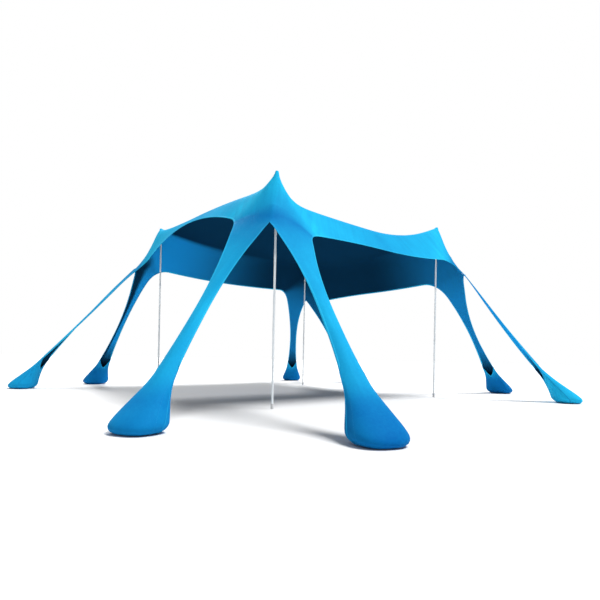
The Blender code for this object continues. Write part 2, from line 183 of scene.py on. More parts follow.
# The stretched sheet
# One piece of polyester and spandex knit, cut with eight arms and pulled tight over the pole tips, so it
# hangs as a smooth film between them. A soft ridge runs from pole to pole, and a crease crosses each
# corner in front of its pole, from one side corner to the other, where the faces of the arms begin.
HALF = 2.37 / 2
TIP_HEIGHT = 2.0043
TIP_RADIUS = 0.0165
TIP_DOME = 0.030
TIP_STEP = 0.0195
SIDE_EDGE_OUT = 0.26
SIDE_EDGE_OUT_MIDDLE = 0.22
ARCH_OUT = 0.31
ARCH_ROUND = 0.07
ARM_WIDTH = 0.100
FLARE = 0.028
FLARE_LENGTH = 0.16
KNEE_SHARE = 0.60
EASE = 0.70
KNEE_BEND = 0.30
KNEE_ROOM = 0.55
ROOT_MIDDLE = 0.52
FILLET_ARM = 0.19
FILLET_SIDE = 0.14
FILLET_ROOM = 0.9
NECK_HEIGHT = 0.36
NECK_CURL = 0.050
CURL_TOP = 1.25
CURL_GROWTH = 1.25
CURL_FORM = 2.2
TOE_OUT = 0.150
RIDGE_WIDTH = 0.05
RIDGE_STIFFNESS = 3000.0
HORN_LENGTH = 0.07
SHEET_LIFT = 0.10
START_HEIGHT = 1.6
SOLVER_STEPS = 1500
ROOT_SHARE = 0.86
CLOTH_THICKNESS = 0.0018
POLE = np.array([HALF, HALF])
OUTWARD = np.array([1.0, 1.0]) / math.sqrt(2)

# Each corner: signs of X and Y, heights of the arch between its two arms and of the crease over it
CORNERS = {
    "front": ((1, -1), 1.475, 1.66),
    "right": ((1, 1), 1.445, 1.65),
    "back": ((-1, 1), 1.38, 1.60),
    "left": ((-1, -1), 1.50, 1.68),
}
# Each side of the square: heights of its edge and of its ridge at the middle
SIDES = {
    ("x", 1): (1.495, 1.735),
    ("y", 1): (1.36, 1.80),
    ("x", -1): (1.47, 1.885),
    ("y", -1): (1.77, 1.915),
}
# Each arm: its corner, its side of the square, height of the sheet's side corner above it, how far that
# corner lies inside the pole, height of the ridge beside the pole's tip, reach of its pocket from the
# pole, turn from the diagonal, sag of its middle
ARMS = {
    "front_left": ("front", "y", 1.63, 0.21, 1.865, 1.43, 23.0, 0.030),
    "front_right": ("front", "x", 1.46, 0.165, 1.760, 1.61, 28.0, 0.038),
    "right_front": ("right", "x", 1.545, 0.13, 2.000, 1.39, 12.0, 0.108),
    "right_rear": ("right", "y", 1.385, 0.195, 1.980, 1.475, 41.8, 0.073),
    "back_right": ("back", "y", 1.34, 0.18, 1.900, 1.435, 33.5, 0.030),
    "back_left": ("back", "x", 1.493, 0.20, 1.930, 1.38, 13.4, 0.010),
    "left_rear": ("left", "x", 1.518, 0.08, 2.000, 1.447, 31.5, 0.048),
    "left_front": ("left", "y", 1.557, 0.12, 1.965, 1.57, 11.5, 0.005),
}


def lerp(a, b, t):
    """The point a share t of the way from a to b."""
    return np.asarray(a) + (np.asarray(b) - np.asarray(a)) * t


def smooth(t):
    """0 to 1 with soft ends."""
    t = np.clip(t, 0.0, 1.0)
    return t * t * (3.0 - 2.0 * t)


def unit(v):
    return v / np.maximum(np.linalg.norm(v, axis=-1, keepdims=True), 1e-12)


def arc_lengths(points):
    """Distance along a polyline to each of its points."""
    return np.concatenate([[0.0], np.cumsum(np.linalg.norm(np.diff(points, axis=0), axis=1))])


def sample(points, distances):
    """Points at the given distances along a polyline."""
    along = arc_lengths(points)
    return np.stack([np.interp(distances, along, points[:, k]) for k in range(points.shape[1])], axis=1)


def bezier(start, control, end, count):
    """A quadratic curve that starts and ends along the lines to its control point."""
    t = np.linspace(0.0, 1.0, count)[:, None]
    return (1 - t) ** 2 * start + 2 * t * (1 - t) * control + t ** 2 * end


def finer(values, times):
    """The values, with each step between them cut into equal parts."""
    steps = np.linspace(0.0, len(values) - 1.0, (len(values) - 1) * times + 1)
    return np.interp(steps, np.arange(len(values)), values)


def side_edge_point(along):
    """Plan point on the +X side edge at a distance along the side from its middle."""
    out = lerp(SIDE_EDGE_OUT_MIDDLE, SIDE_EDGE_OUT, (abs(along) / HALF) ** 2)
    return np.array([HALF + out, along])


class Arm:
    """One arm in the reference octant, which lies between +X and the diagonal of the +X +Y corner."""

    def __init__(self, corner, side, corner_height, inset, shoulder, reach, turn, sag):
        self.signs, self.arch_height, self.crease_height = CORNERS[corner]
        self.corner_along = HALF - inset
        self.side = side
        self.corner_height = corner_height
        self.edge_middle, self.ridge_middle = SIDES[(side, self.signs["xy".index(side)])]
        self.shoulder = shoulder
        self.arch = POLE + OUTWARD * ARCH_OUT
        self.root_corner = side_edge_point(self.corner_along)
        bearing = math.radians(45.0 - turn)
        self.pocket = POLE + reach * np.array([math.cos(bearing), math.sin(bearing)])
        self.root = lerp(self.arch, self.root_corner, ROOT_MIDDLE)
        self.along = unit(self.pocket - self.root)
        self.across = np.array([-self.along[1], self.along[0]])
        self.length = float(np.linalg.norm(self.pocket - self.root)) + TOE_OUT
        self.dip = 4 * sag
        rise = (corner_height + self.arch_height) / 2 - self.dip
        self.neck_share = (math.sqrt(rise ** 2 + 4 * self.dip * NECK_HEIGHT) - rise) / (2 * self.dip)
        self.neck_back = self.neck_share * self.length - TOE_OUT
        self.neck = self.pocket - self.along * self.neck_back

    def height(self, share, top):
        """Height of an edge at a share of the way from the neck to its top."""
        q = self.neck_share + (1.0 - self.neck_share) * share
        line = top * q - self.dip * q * (1.0 - q)
        low = top * self.neck_share - self.dip * self.neck_share * (1.0 - self.neck_share)
        return NECK_HEIGHT + (line - low) * (top - NECK_HEIGHT) / (top - low)

    def edge(self, sign, target):
        """Plan of an edge of the arm: straight from the neck to the knee, then bent towards its target."""
        start = self.neck + sign * self.across * ARM_WIDTH / 2
        knee = start + (self.root - self.neck) * KNEE_SHARE
        bend_start = knee + unit(start - knee) * KNEE_BEND
        bend = min(KNEE_BEND, KNEE_ROOM * float(np.linalg.norm(target - knee)))
        bend_end = knee + unit(target - knee) * bend
        straight = lerp(start, bend_start, np.linspace(0, 1, 20)[:, None])
        line = np.concatenate([straight, bezier(bend_start, knee, bend_end, 40)[1:]])
        spread = FLARE * np.exp(-arc_lengths(line) / FLARE_LENGTH)
        return line + sign * spread[:, None] * self.across

    def inner_line(self):
        """Plan of the edge towards the corner's arch, from the neck to the arch's rounded top."""
        line = self.edge(1, self.arch)
        turn_start = self.arch + unit(line[-1] - self.arch) * ARCH_ROUND
        top = self.arch + OUTWARD * float((turn_start - self.arch) @ OUTWARD) / 2
        return np.concatenate([line, lerp(line[-1], turn_start, np.linspace(0, 1, 30)[1:, None]),
                               bezier(turn_start, lerp(self.arch, turn_start, 0.5), top, 16)[1:]])

    def outer_line(self):
        """Plan of the edge towards the side, from the neck round the side corner."""
        line = self.edge(-1, self.root_corner)
        back = line[-1] - self.root_corner
        room = FILLET_ROOM * float(np.linalg.norm(back))
        turn_start = self.root_corner + unit(back) * min(FILLET_ARM, room)
        turn_end = side_edge_point(self.corner_along - FILLET_SIDE)
        return np.concatenate([line, lerp(line[-1], turn_start, np.linspace(0, 1, 20)[1:, None]),
                               bezier(turn_start, self.root_corner, turn_end, 50)[1:]])

    def place(self, plan):
        """Turn plan points in the reference octant into this arm's real corner and side."""
        placed = plan if self.side == "x" else plan[..., ::-1]
        return placed * np.array(self.signs, dtype=float)


ARM_ROWS = 32
ARM_ROWS_CLOSE_UP = 1.35
PEAK_DISTANCES = finer((ARCH_OUT, 0.175, 0.095, 0.050, TIP_STEP, 0.0), 4)[1:]
ROOF_DISTANCES = finer((0.0, TIP_STEP, 0.055, 0.105, 0.180, 0.300, 0.470, 0.700, 0.980, 1.300,
                        HALF * math.sqrt(2)), 4)[1:]
ACROSS_AT_PEAK = finer((0.0, 0.085, 0.20, 0.37, 0.63, 1.0), 4)
COLUMNS = len(ACROSS_AT_PEAK)
POLE_ROW = ARM_ROWS + len(PEAK_DISTANCES)
CREASE_ROW = ARM_ROWS + 4
CREASE_CURVE = 1.3
ARM_ROWS_TO_EVEN = 12
ROOF_ROWS_TO_EVEN = 16
RIDGE_COLUMN = 12


def octant_grid(arm):
    """Plan points and fixed heights of one eighth of the sheet; free heights are nan."""
    inner, outer = arm.inner_line(), arm.outer_line()
    outer_length = arc_lengths(outer)[-1]
    half_diagonal = HALF * math.sqrt(2)
    arm_steps = 1.0 - np.linspace(1.0, 0.0, ARM_ROWS + 1) ** ARM_ROWS_CLOSE_UP
    peak_steps = np.linspace(ROOT_SHARE, 1.0, len(PEAK_DISTANCES) + 1)[1:]
    line_in = np.concatenate([sample(inner, arm_steps * arc_lengths(inner)[-1]),
                              POLE + OUTWARD * PEAK_DISTANCES[:, None],
                              POLE - OUTWARD * ROOF_DISTANCES[:, None]])
    line_out = np.concatenate([sample(outer, arm_steps * outer_length * ROOT_SHARE),
                               sample(outer, peak_steps * outer_length),
                               [side_edge_point(outer[-1][1] * (1.0 - d / half_diagonal))
                                for d in ROOF_DISTANCES]])
    row = np.arange(len(line_in))
    past_arm = (row - ARM_ROWS + ARM_ROWS_TO_EVEN) / ARM_ROWS_TO_EVEN
    past_pole = 1.0 - (row - POLE_ROW) / ROOF_ROWS_TO_EVEN
    weight = np.clip(np.minimum(past_arm, past_pole), 0.0, 1.0)[:, None]
    even = np.tile(np.linspace(0.0, 1.0, COLUMNS), (len(row), 1))
    for r in range(POLE_ROW + 1, len(row)):
        on_ridge = (HALF - line_in[r, 0]) / (line_out[r, 0] - line_in[r, 0])
        even[r] = np.interp(np.arange(COLUMNS), (0, RIDGE_COLUMN, COLUMNS - 1), (0.0, on_ridge, 1.0))
    share = lerp(even, ACROSS_AT_PEAK, weight)
    plan = lerp(line_in[:, None], line_out[:, None], share[..., None])

    height = np.full(plan.shape[:2], np.nan)
    along_in = arc_lengths(line_in[:ARM_ROWS + 1])
    height[:ARM_ROWS + 1, 0] = arm.height(along_in / along_in[-1], arm.arch_height)
    along_out = arc_lengths(line_out[:POLE_ROW + 1])
    q = along_out / along_out[-1]
    slope = 2 * (arm.edge_middle - arm.corner_height) / line_out[POLE_ROW, 1]
    end_slope = slope * along_out[-1] / (arm.corner_height - NECK_HEIGHT)
    bend = (1.0 - end_slope) / (1.0 - end_slope * (1 - EASE) / 2)
    rise = q - bend * np.clip(q - EASE, 0.0, None) ** 2 / (2 * (1 - EASE))
    height[:POLE_ROW + 1, -1] = lerp(NECK_HEIGHT, arm.corner_height, rise / rise[-1])
    edge_share = line_out[POLE_ROW:, 1] / line_out[POLE_ROW, 1]
    height[POLE_ROW:, -1] = lerp(arm.edge_middle, arm.corner_height, edge_share ** 2)
    height[0, :] = NECK_HEIGHT
    height[CREASE_ROW] = lerp(arm.crease_height, height[CREASE_ROW, -1], share[CREASE_ROW] ** CREASE_CURVE)
    from_pole = np.linalg.norm(plan - POLE, axis=-1)
    tip = from_pole <= TIP_RADIUS
    height[tip] = TIP_HEIGHT - from_pole[tip] ** 2 / (2 * TIP_DOME)
    return plan, height, share


def film_pulls(arm, plan):
    """Pairs of grid nodes with the pull between them, and the lift and the hold on each node."""
    node = np.arange(plan.shape[0] * plan.shape[1]).reshape(plan.shape[:2])
    a, b, c, d = node[:-1, :-1], node[1:, :-1], node[1:, 1:], node[:-1, 1:]
    corners = np.concatenate([np.stack([x.ravel(), y.ravel(), z.ravel()], axis=1)
                              for x, y, z in ((a, b, c), (a, c, d), (a, b, d), (b, c, d))])
    flat = plan.reshape(-1, 2)
    middle = flat[corners].mean(axis=1)
    from_tip = np.clip(HALF - middle[:, 1], 0.0, None)
    target = (arm.ridge_middle + (arm.shoulder - arm.ridge_middle) * (1.0 - from_tip / HALF) ** 2
              + (TIP_HEIGHT - arm.shoulder) * np.exp(-from_tip / HORN_LENGTH))
    stiff = RIDGE_STIFFNESS * np.exp(-((middle[:, 0] - HALF) / RIDGE_WIDTH) ** 2) * (middle[:, 1] < HALF)
    edges = [flat[corners[:, (k + 2) % 3]] - flat[corners[:, (k + 1) % 3]] for k in range(3)]
    area = np.abs(edges[0][:, 0] * edges[1][:, 1] - edges[0][:, 1] * edges[1][:, 0]) / 2
    first, second, weight = [], [], []
    for k in range(3):
        m = (k + 1) % 3
        first.append(corners[:, k])
        second.append(corners[:, m])
        weight.append(-(edges[k] * edges[m]).sum(axis=1) / (8.0 * np.maximum(area, 1e-9)))
    lift = np.zeros(node.size)
    np.add.at(lift, corners, ((SHEET_LIFT + stiff * target) * area / 6.0)[:, None])
    hold = np.zeros(node.size)
    np.add.at(hold, corners, (stiff * area / 6.0)[:, None])
    return np.concatenate(first), np.concatenate(second), np.concatenate(weight), lift, hold


def solve_film(first, second, weight, load, hold, height):
    """Heights at which every free node is in balance, by conjugate gradients."""
    count = len(height)
    free = np.isnan(height)
    height = np.where(free, START_HEIGHT, height)

    def out_of_balance(h):
        flow = weight * (h[first] - h[second])
        return np.bincount(first, flow, count) - np.bincount(second, flow, count) + hold * h

    diagonal = np.bincount(first, weight, count) + np.bincount(second, weight, count) + hold
    residual = np.where(free, load - out_of_balance(height), 0.0)
    scaled = residual / diagonal
    direction = scaled.copy()
    energy = residual @ scaled
    for _ in range(SOLVER_STEPS):
        pushed = np.where(free, out_of_balance(direction), 0.0)
        step = energy / (direction @ pushed)
        height = height + step * direction
        residual = residual - step * pushed
        scaled = residual / diagonal
        before, energy = energy, residual @ scaled
        if energy < 1e-16:
            break
        direction = scaled + energy / before * direction
    return height


arms = {name: Arm(*values) for name, values in ARMS.items()}
grids = {name: octant_grid(arm) for name, arm in arms.items()}
keys, ids = {}, {}
for name, arm in arms.items():
    places = np.round(arm.place(grids[name][0]).reshape(-1, 2), 5) + 0.0
    ids[name] = np.array([keys.setdefault(tuple(place), len(keys)) for place in places])
height = np.full(len(keys), np.nan)
load = np.zeros(len(keys))
hold = np.zeros(len(keys))
pulls = []
for name, arm in arms.items():
    plan, known, _ = grids[name]
    first, second, weight, lift, held_back = film_pulls(arm, plan)
    np.add.at(hold, ids[name], held_back)
    pulls.append((ids[name][first], ids[name][second], weight))
    np.add.at(load, ids[name], lift)
    held = ~np.isnan(known.ravel())
    height[ids[name][held]] = known.ravel()[held]
height = solve_film(*(np.concatenate(part) for part in zip(*pulls)), load, hold, height)

# The grid of each octant in the shelter's own place, with the arms' edges curling in towards the pockets
points, cloth_uv = {}, {}
for name, arm in arms.items():
    plan, _, share = grids[name]
    z = height[ids[name]].reshape(plan.shape[:2])
    curl = NECK_CURL * np.clip((CURL_TOP - z) / (CURL_TOP - NECK_HEIGHT), 0.0, None) ** CURL_GROWTH
    curl[ARM_ROWS:] = 0.0
    plan = plan - arm.along * (curl * np.abs(2.0 * share - 1.0) ** CURL_FORM)[..., None]
    points[name] = np.dstack([arm.place(plan) + SQUARE_CENTRE, z])
    width = np.linalg.norm(plan[:, -1] - plan[:, 0], axis=-1)[:, None]
    down = arc_lengths(points[name][:, COLUMNS // 2])[:, None] + np.zeros_like(share)
    cloth_uv[name] = np.dstack([share * width, down])


def new_piece(name, vertices, faces, materials):
    """An object made of points and faces, riding on the shelter's one body."""
    mesh = bpy.data.meshes.new(name)
    mesh.from_pydata(np.asarray(vertices).tolist(), [], [tuple(int(k) for k in face) for face in faces])
    mesh.validate()
    for material in materials:
        mesh.materials.append(material)
    mesh.shade_smooth()
    piece = bpy.data.objects.new(name, mesh)
    bpy.context.scene.collection.objects.link(piece)
    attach(piece, "root")
    return piece


def set_attribute(piece, name, values):
    """Numbers or vectors on the points of a piece, for its material to read."""
    values = np.asarray(values, dtype=np.float32)
    kind = "FLOAT" if values.ndim == 1 else "FLOAT_VECTOR"
    layer = piece.data.attributes.new(name, kind, "POINT")
    layer.data.foreach_set("value" if values.ndim == 1 else "vector", values.ravel())


def face_outwards(mesh):
    """Turn every face of a closed form outwards."""
    graph = bmesh.new()
    graph.from_mesh(mesh)
    bmesh.ops.recalc_face_normals(graph, faces=graph.faces)
    graph.to_mesh(mesh)
    graph.free()


def give_thickness(piece):
    """Turn a skin into cloth of real thickness, with a crisp edge."""
    wall = piece.modifiers.new("cloth_thickness", "SOLIDIFY")
    wall.thickness = CLOTH_THICKNESS
    wall.offset = -1.0
    # The inner shell takes the second material; on the sheet and the bags, that is the knit painted dark as
    # painted shade
    wall.material_offset = 1
    cloth = bpy.data.meshes.new_from_object(piece.evaluated_get(bpy.context.evaluated_depsgraph_get()))
    piece.modifiers.remove(wall)
    piece.data = cloth
    cloth.set_sharp_from_angle(angle=math.radians(50.0))


def grid_faces(rows, columns, flip=False):
    """Four-sided faces of a grid of points that runs row by row."""
    corner = (np.arange(rows - 1)[:, None] * columns + np.arange(columns - 1)).ravel()
    faces = np.stack([corner, corner + columns, corner + columns + 1, corner + 1], axis=1)
    return faces[:, ::-1] if flip else faces


# How much painted light and shade each octant gets, row by row from the neck to the middle of the roof: it is
# painted lighter along the arms, over the ridges and up to the tips, and painted darker on the faces below
# the crease
PAINTED_LIGHT_ROWS = (0, 8, 20, CREASE_ROW - 2, CREASE_ROW + 1, POLE_ROW - 6, POLE_ROW + 8, POLE_ROW + 40)
PAINTED_LIGHT = (0.74, 0.90, 0.56, 0.20, 0.66, 1.1, 1.15, 0.60)
# How much light comes through the arms along their length, which also paints their inner face lighter, and
# for each arm that lets light through its own level and the share of its width, from the arch outwards, where
# that starts
THIN_AND_PAINTED_GLOW_ROWS = (0, 5, 22, CREASE_ROW - 3)
THIN_AND_PAINTED_GLOW = (0.1, 0.9, 1.0, 0.7)
ARM_THIN_AND_PAINTED_GLOW = {"left_rear": (0.75, 0.35), "right_rear": (0.45, -0.3), "right_front": (0.75, -0.3),
            "back_left": (0.40, -0.3), "back_right": (0.20, -0.3)}


def thin_and_painted_glow_of(name):
    """How much light the cloth of an octant lets through, which also paints its inner face lighter.

    Above the crease it is most at the left end of the flap on -X, and half as much at the right end of the
    flap on +Y. The roof and the two other flaps let almost none through.
    """
    arm = arms[name]
    x, y = (points[name][..., k] - SQUARE_CENTRE[k] for k in range(2))
    flaps = {("x", -1): smooth((0.7 - y) / 1.9), ("y", 1): 0.5 * smooth((x - 0.1) / 1.3)}
    on_flap = 0.72 * flaps.get((arm.side, arm.signs["xy".index(arm.side)]), 0.0)
    on_flap = on_flap * smooth((np.maximum(np.abs(x), np.abs(y)) - HALF + 0.02) / 0.10)
    row = np.arange(len(x))[:, None]
    level, start = ARM_THIN_AND_PAINTED_GLOW.get(name, (0.0, 0.0))
    on_arm = level * np.interp(row, THIN_AND_PAINTED_GLOW_ROWS, THIN_AND_PAINTED_GLOW) * smooth((grids[name][2] - start) / 0.25)
    return 0.03 + lerp(on_arm, on_flap, smooth((row - CREASE_ROW + 3) / 6.0))


sheet_vertices = np.zeros((len(keys), 3))
sheet_pull = np.zeros((len(keys), 3))
sheet_painted_light = np.zeros(len(keys))
sheet_thin_and_painted_glow = np.zeros(len(keys))
sheet_faces = []
for name, arm in arms.items():
    sheet_vertices[ids[name]] = points[name].reshape(-1, 3)
    sheet_pull[ids[name], :2] = cloth_uv[name].reshape(-1, 2)
    # Painted light and shade of each row of the octant
    drawn = np.interp(np.arange(len(cloth_uv[name])), PAINTED_LIGHT_ROWS, PAINTED_LIGHT)
    sheet_painted_light[ids[name]] = np.repeat(drawn, COLUMNS)
    sheet_thin_and_painted_glow[ids[name]] = thin_and_painted_glow_of(name).ravel()
    flip = (arm.side == "y") != (arm.signs[0] * arm.signs[1] < 0)
    sheet_faces.append(ids[name][grid_faces(*points[name].shape[:2], flip)])
sheet_faces = np.concatenate(sheet_faces)


RIB_PITCH = 0.0016
LOOP_PITCH = 0.0012
THROUGH = (0.09, 0.67, 1.0, 1.0)
# Colours of the inner face: a dark navy that is painted shade, and the painted glow where light comes through
INNER_PAINTED_SHADE = (0.0028, 0.026, 0.066, 1.0)
INNER_PAINTED_GLOW = (0.02, 0.34, 0.78, 1.0)


def knit(name, deep, lit, shine=0.0, fuzz=0.0, painted_glow=None):
    """Knit from deep to lit by painted light, shade and random mottling; inner faces painted lighter where
    lit through.
    """
    cloth = Finish(name, Specular_IOR_Level=shine, Sheen_Weight=fuzz, Sheen_Roughness=0.4,
                   Sheen_Tint=(0.15, 0.80, 1.0, 1.0))
    place = cloth.node("ShaderNodeTexCoord", output=3)
    pull = cloth.attribute("pull", 1)
    across, along = (cloth.node("ShaderNodeSeparateXYZ", None, [pull], output=k) for k in range(2))
    rib = cloth.node("ShaderNodeMath", {"operation": "SINE"}, [across * (2 * math.pi / RIB_PITCH)])
    loop = cloth.node("ShaderNodeMath", {"operation": "SINE"}, [along * (2 * math.pi / LOOP_PITCH)])
    stretched = cloth.node("ShaderNodeMapping", None, {"Vector": pull, "Scale": (26.0, 1.6, 1.0)})
    streaks = cloth.noise(stretched, 1.0, 4.0)
    cloudy = cloth.noise(place, 2.2, 4.0)
    fine = cloth.noise(place, 60.0, 2.0)
    thin = cloth.attribute("thin")
    drawn = cloth.attribute("drawn")
    # Painted light and shade along the cloth, with random cloudy, streaky and fine mottling on top
    tone_and_painted_light = drawn * 0.62 + cloudy * 0.45 + (streaks - 0.5) * drawn * drawn * 0.35 + fine * 0.12 - 0.19
    color = cloth.mix(tone_and_painted_light, deep, lit)
    # Painted glow: the colour is painted lighter where light comes through the cloth
    if painted_glow:
        color = cloth.mix(thin, color, painted_glow)
    relief = cloth.node("ShaderNodeBump", None, {"Strength": 0.18, "Distance": 0.0004,
                                                 "Height": rib * 0.5 + loop * 0.5})
    relief = cloth.node("ShaderNodeBump", None, {"Strength": 0.35, "Distance": 0.006,
                                                 "Height": streaks, "Normal": relief})
    cloth.feed(Base_Color=color, Roughness=0.50 + streaks * 0.16, Normal=relief)
    through = cloth.node("ShaderNodeBsdfTranslucent", None, {"Color": THROUGH})
    blend = cloth.node("ShaderNodeMixShader", None,
                       [thin * 0.6, Socket(cloth, cloth.shader.outputs[0]), through])
    cloth.put(cloth.tree.nodes["Material Output"].inputs["Surface"], blend)
    return cloth.material


cloth_outer = knit("stretch_knit_outer", (0.002, 0.12, 0.41, 1.0), (0.019, 0.56, 0.91, 1.0),
                   shine=0.01, fuzz=0.12)
# The inner face: the same knit painted dark navy as painted shade under the sheet, with painted glow where
# light comes through
cloth_inner_painted_shade = knit("stretch_knit_inner_painted_shade", tuple(0.7 * c for c in INNER_PAINTED_SHADE[:3]) + (1.0,), INNER_PAINTED_SHADE,
                   painted_glow=INNER_PAINTED_GLOW)
sheet = new_piece("canopy_sheet", sheet_vertices, sheet_faces, [cloth_outer, cloth_inner_painted_shade])
set_attribute(sheet, "pull", sheet_pull)
set_attribute(sheet, "thin", sheet_thin_and_painted_glow)
set_attribute(sheet, "drawn", sheet_painted_light)
give_thickness(sheet)
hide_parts(*[f"canopy_{corner}" for corner in CORNERS], *[f"arm_{name}" for name in ARMS])

# The hems
# Each free edge of the sheet is turned under and sewn down with a twin row of stitches. It shows as a
# flat raised band along the four arches and the four sides, from one pocket's neck to the next.
HEM_DISTANCES = np.array([0.0, 0.0045, 0.0085, 0.0125])
HEM_RISE = np.array([0.0011, 0.0014, 0.0014, 0.0005])
HEM_FOLD = 0.0020
HEM_AT_NECK = 0.3
STITCH_LENGTH = 0.0042
STITCH_PITCH = 0.0060
STITCH_WIDTH = 0.0009
HEM_KNIT_STEP = 0.0042


def hem_rows(name, inner):
    """Points on the cloth at the hem's distances from an edge of an arm, row by row from the neck.

    The hem narrows at the neck, where it runs into the side seam of the pocket.
    """
    grid = points[name][:ARM_ROWS + 1] if inner else points[name][:, ::-1]
    edge = grid[:, 0]
    tangent = unit(np.gradient(edge, axis=0))
    rows = []
    for r in range(len(grid)):
        at_arch = inner and r == ARM_ROWS
        line = points[name][ARM_ROWS:, 0] if at_arch else grid[r]
        lean = float(unit(line[1] - line[0]) @ tangent[r])
        width = (1.0 if r else HEM_AT_NECK) / max(math.sqrt(1.0 - lean ** 2), 0.35)
        rows.append(sample(line, HEM_DISTANCES * width))
    return np.array(rows)


def add_band(name, rows, drawn, outside):
    """A flat closed band that wraps an edge of the cloth, with the painted light and shade of the cloth, and
    its seam lines.
    """
    tangent = unit(np.gradient(rows[:, 0], axis=0))[:, None]
    normal = unit(np.cross(np.gradient(rows, axis=1), tangent))
    normal = normal * np.sign((normal * outside).sum(axis=-1, keepdims=True))
    rise = HEM_RISE[:, None]
    upper = rows + normal * rise
    lower = (rows - normal * (rise + CLOTH_THICKNESS))[:, ::-1]
    fold = rows[:, :1] - unit(rows[:, 1:2] - rows[:, :1]) * HEM_FOLD - normal[:, :1] * CLOTH_THICKNESS / 2
    rings = np.concatenate([fold, upper, lower], axis=1)
    count, around = rings.shape[:2]
    faces = [[r * around + k, r * around + (k + 1) % around, (r + 1) * around + (k + 1) % around,
              (r + 1) * around + k] for r in range(count - 1) for k in range(around)]
    faces += [list(range(around)), list(range((count - 1) * around, count * around))]
    band = new_piece(name, rings.reshape(-1, 3), faces, [hem_finish])
    face_outwards(band.data)
    along = arc_lengths(rows[:, 0])[:, None] + np.zeros((1, around))
    across = np.zeros((count, 1)) + np.arange(around) * HEM_KNIT_STEP
    set_attribute(band, "pull", np.dstack([across, along, along * 0.0]).reshape(-1, 3))
    set_attribute(band, "thin", np.zeros(count * around))
    set_attribute(band, "drawn", np.repeat(drawn, around))
    return band, [upper[:, 1], upper[:, 2], lower[:, 1]]


def stitch_tree(thread):
    """Geometry Nodes that lay a row of stitches along each line of a piece."""
    tree = bpy.data.node_groups.new("stitch_rows", "GeometryNodeTree")
    tree.interface.new_socket("Geometry", in_out="INPUT", socket_type="NodeSocketGeometry")
    for label, value in (("Pitch", STITCH_PITCH), ("Length", STITCH_LENGTH), ("Width", STITCH_WIDTH)):
        tree.interface.new_socket(label, in_out="INPUT", socket_type="NodeSocketFloat").default_value = value
    tree.interface.new_socket("Seed", in_out="INPUT", socket_type="NodeSocketInt").default_value = 7
    tree.interface.new_socket("Geometry", in_out="OUTPUT", socket_type="NodeSocketGeometry")

    def node(kind, settings=None, links=None):
        made = tree.nodes.new(kind)
        for name, value in (settings or {}).items():
            setattr(made, name, value)
        for name, value in (links or {}).items():
            if isinstance(value, bpy.types.NodeSocket):
                tree.links.new(value, made.inputs[name])
            else:
                made.inputs[name].default_value = value
        return made

    given = node("NodeGroupInput").outputs
    lines = node("GeometryNodeMeshToCurve", None, {"Mesh": given["Geometry"]})
    spots = node("GeometryNodeResampleCurve", {"mode": "LENGTH"},
                 {"Curve": lines.outputs[0], "Length": given["Pitch"]})
    bead = node("GeometryNodeMeshUVSphere", None, {"Segments": 4, "Rings": 2, "Radius": 0.5})
    turn = node("FunctionNodeAlignRotationToVector", {"axis": "Z"},
                {"Vector": node("GeometryNodeInputTangent").outputs[0]})
    vary = node("FunctionNodeRandomValue", {"data_type": "FLOAT"},
                {"Min": 0.85, "Max": 1.1, "Seed": given["Seed"]})
    length = node("ShaderNodeMath", {"operation": "MULTIPLY"}, {0: given["Length"], 1: vary.outputs["Value"]})
    size = node("ShaderNodeCombineXYZ", None,
                {"X": given["Width"], "Y": given["Width"], "Z": length.outputs[0]})
    laid = node("GeometryNodeInstanceOnPoints", None,
                {"Points": spots.outputs[0], "Instance": bead.outputs[0], "Rotation": turn.outputs[0],
                 "Scale": size.outputs[0]})
    real = node("GeometryNodeRealizeInstances", None, {0: laid.outputs[0]})
    dressed = node("GeometryNodeSetMaterial", None, {"Geometry": real.outputs[0], "Material": thread})
    node("NodeGroupOutput", None, {"Geometry": dressed.outputs[0]})
    return tree


def add_stitches(name, lines):
    """Stitches along every line, as one piece."""
    counts = [len(line) for line in lines]
    starts = np.concatenate([[0], np.cumsum(counts)])
    mesh = bpy.data.meshes.new(name)
    mesh.from_pydata(np.concatenate(lines).tolist(),
                     [(int(a) + k, int(a) + k + 1) for a, n in zip(starts, counts) for k in range(n - 1)], [])
    guide = bpy.data.objects.new(name + "_guide", mesh)
    bpy.context.scene.collection.objects.link(guide)
    rows = guide.modifiers.new("stitches", "NODES")
    rows.node_group = stitch_rows
    sockets = {item.name: item.identifier for item in stitch_rows.interface.items_tree
               if item.in_out == "INPUT"}
    rows[sockets["Length"]] = STITCH_LENGTH
    rows[sockets["Pitch"]] = STITCH_PITCH
    rows[sockets["Width"]] = STITCH_WIDTH
    rows[sockets["Seed"]] = 7
    sewn = bpy.data.meshes.new_from_object(guide.evaluated_get(bpy.context.evaluated_depsgraph_get()))
    bpy.data.objects.remove(guide, do_unlink=True)
    sewn.name = name
    stitches = bpy.data.objects.new(name, sewn)
    bpy.context.scene.collection.objects.link(stitches)
    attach(stitches, "root")
    return stitches


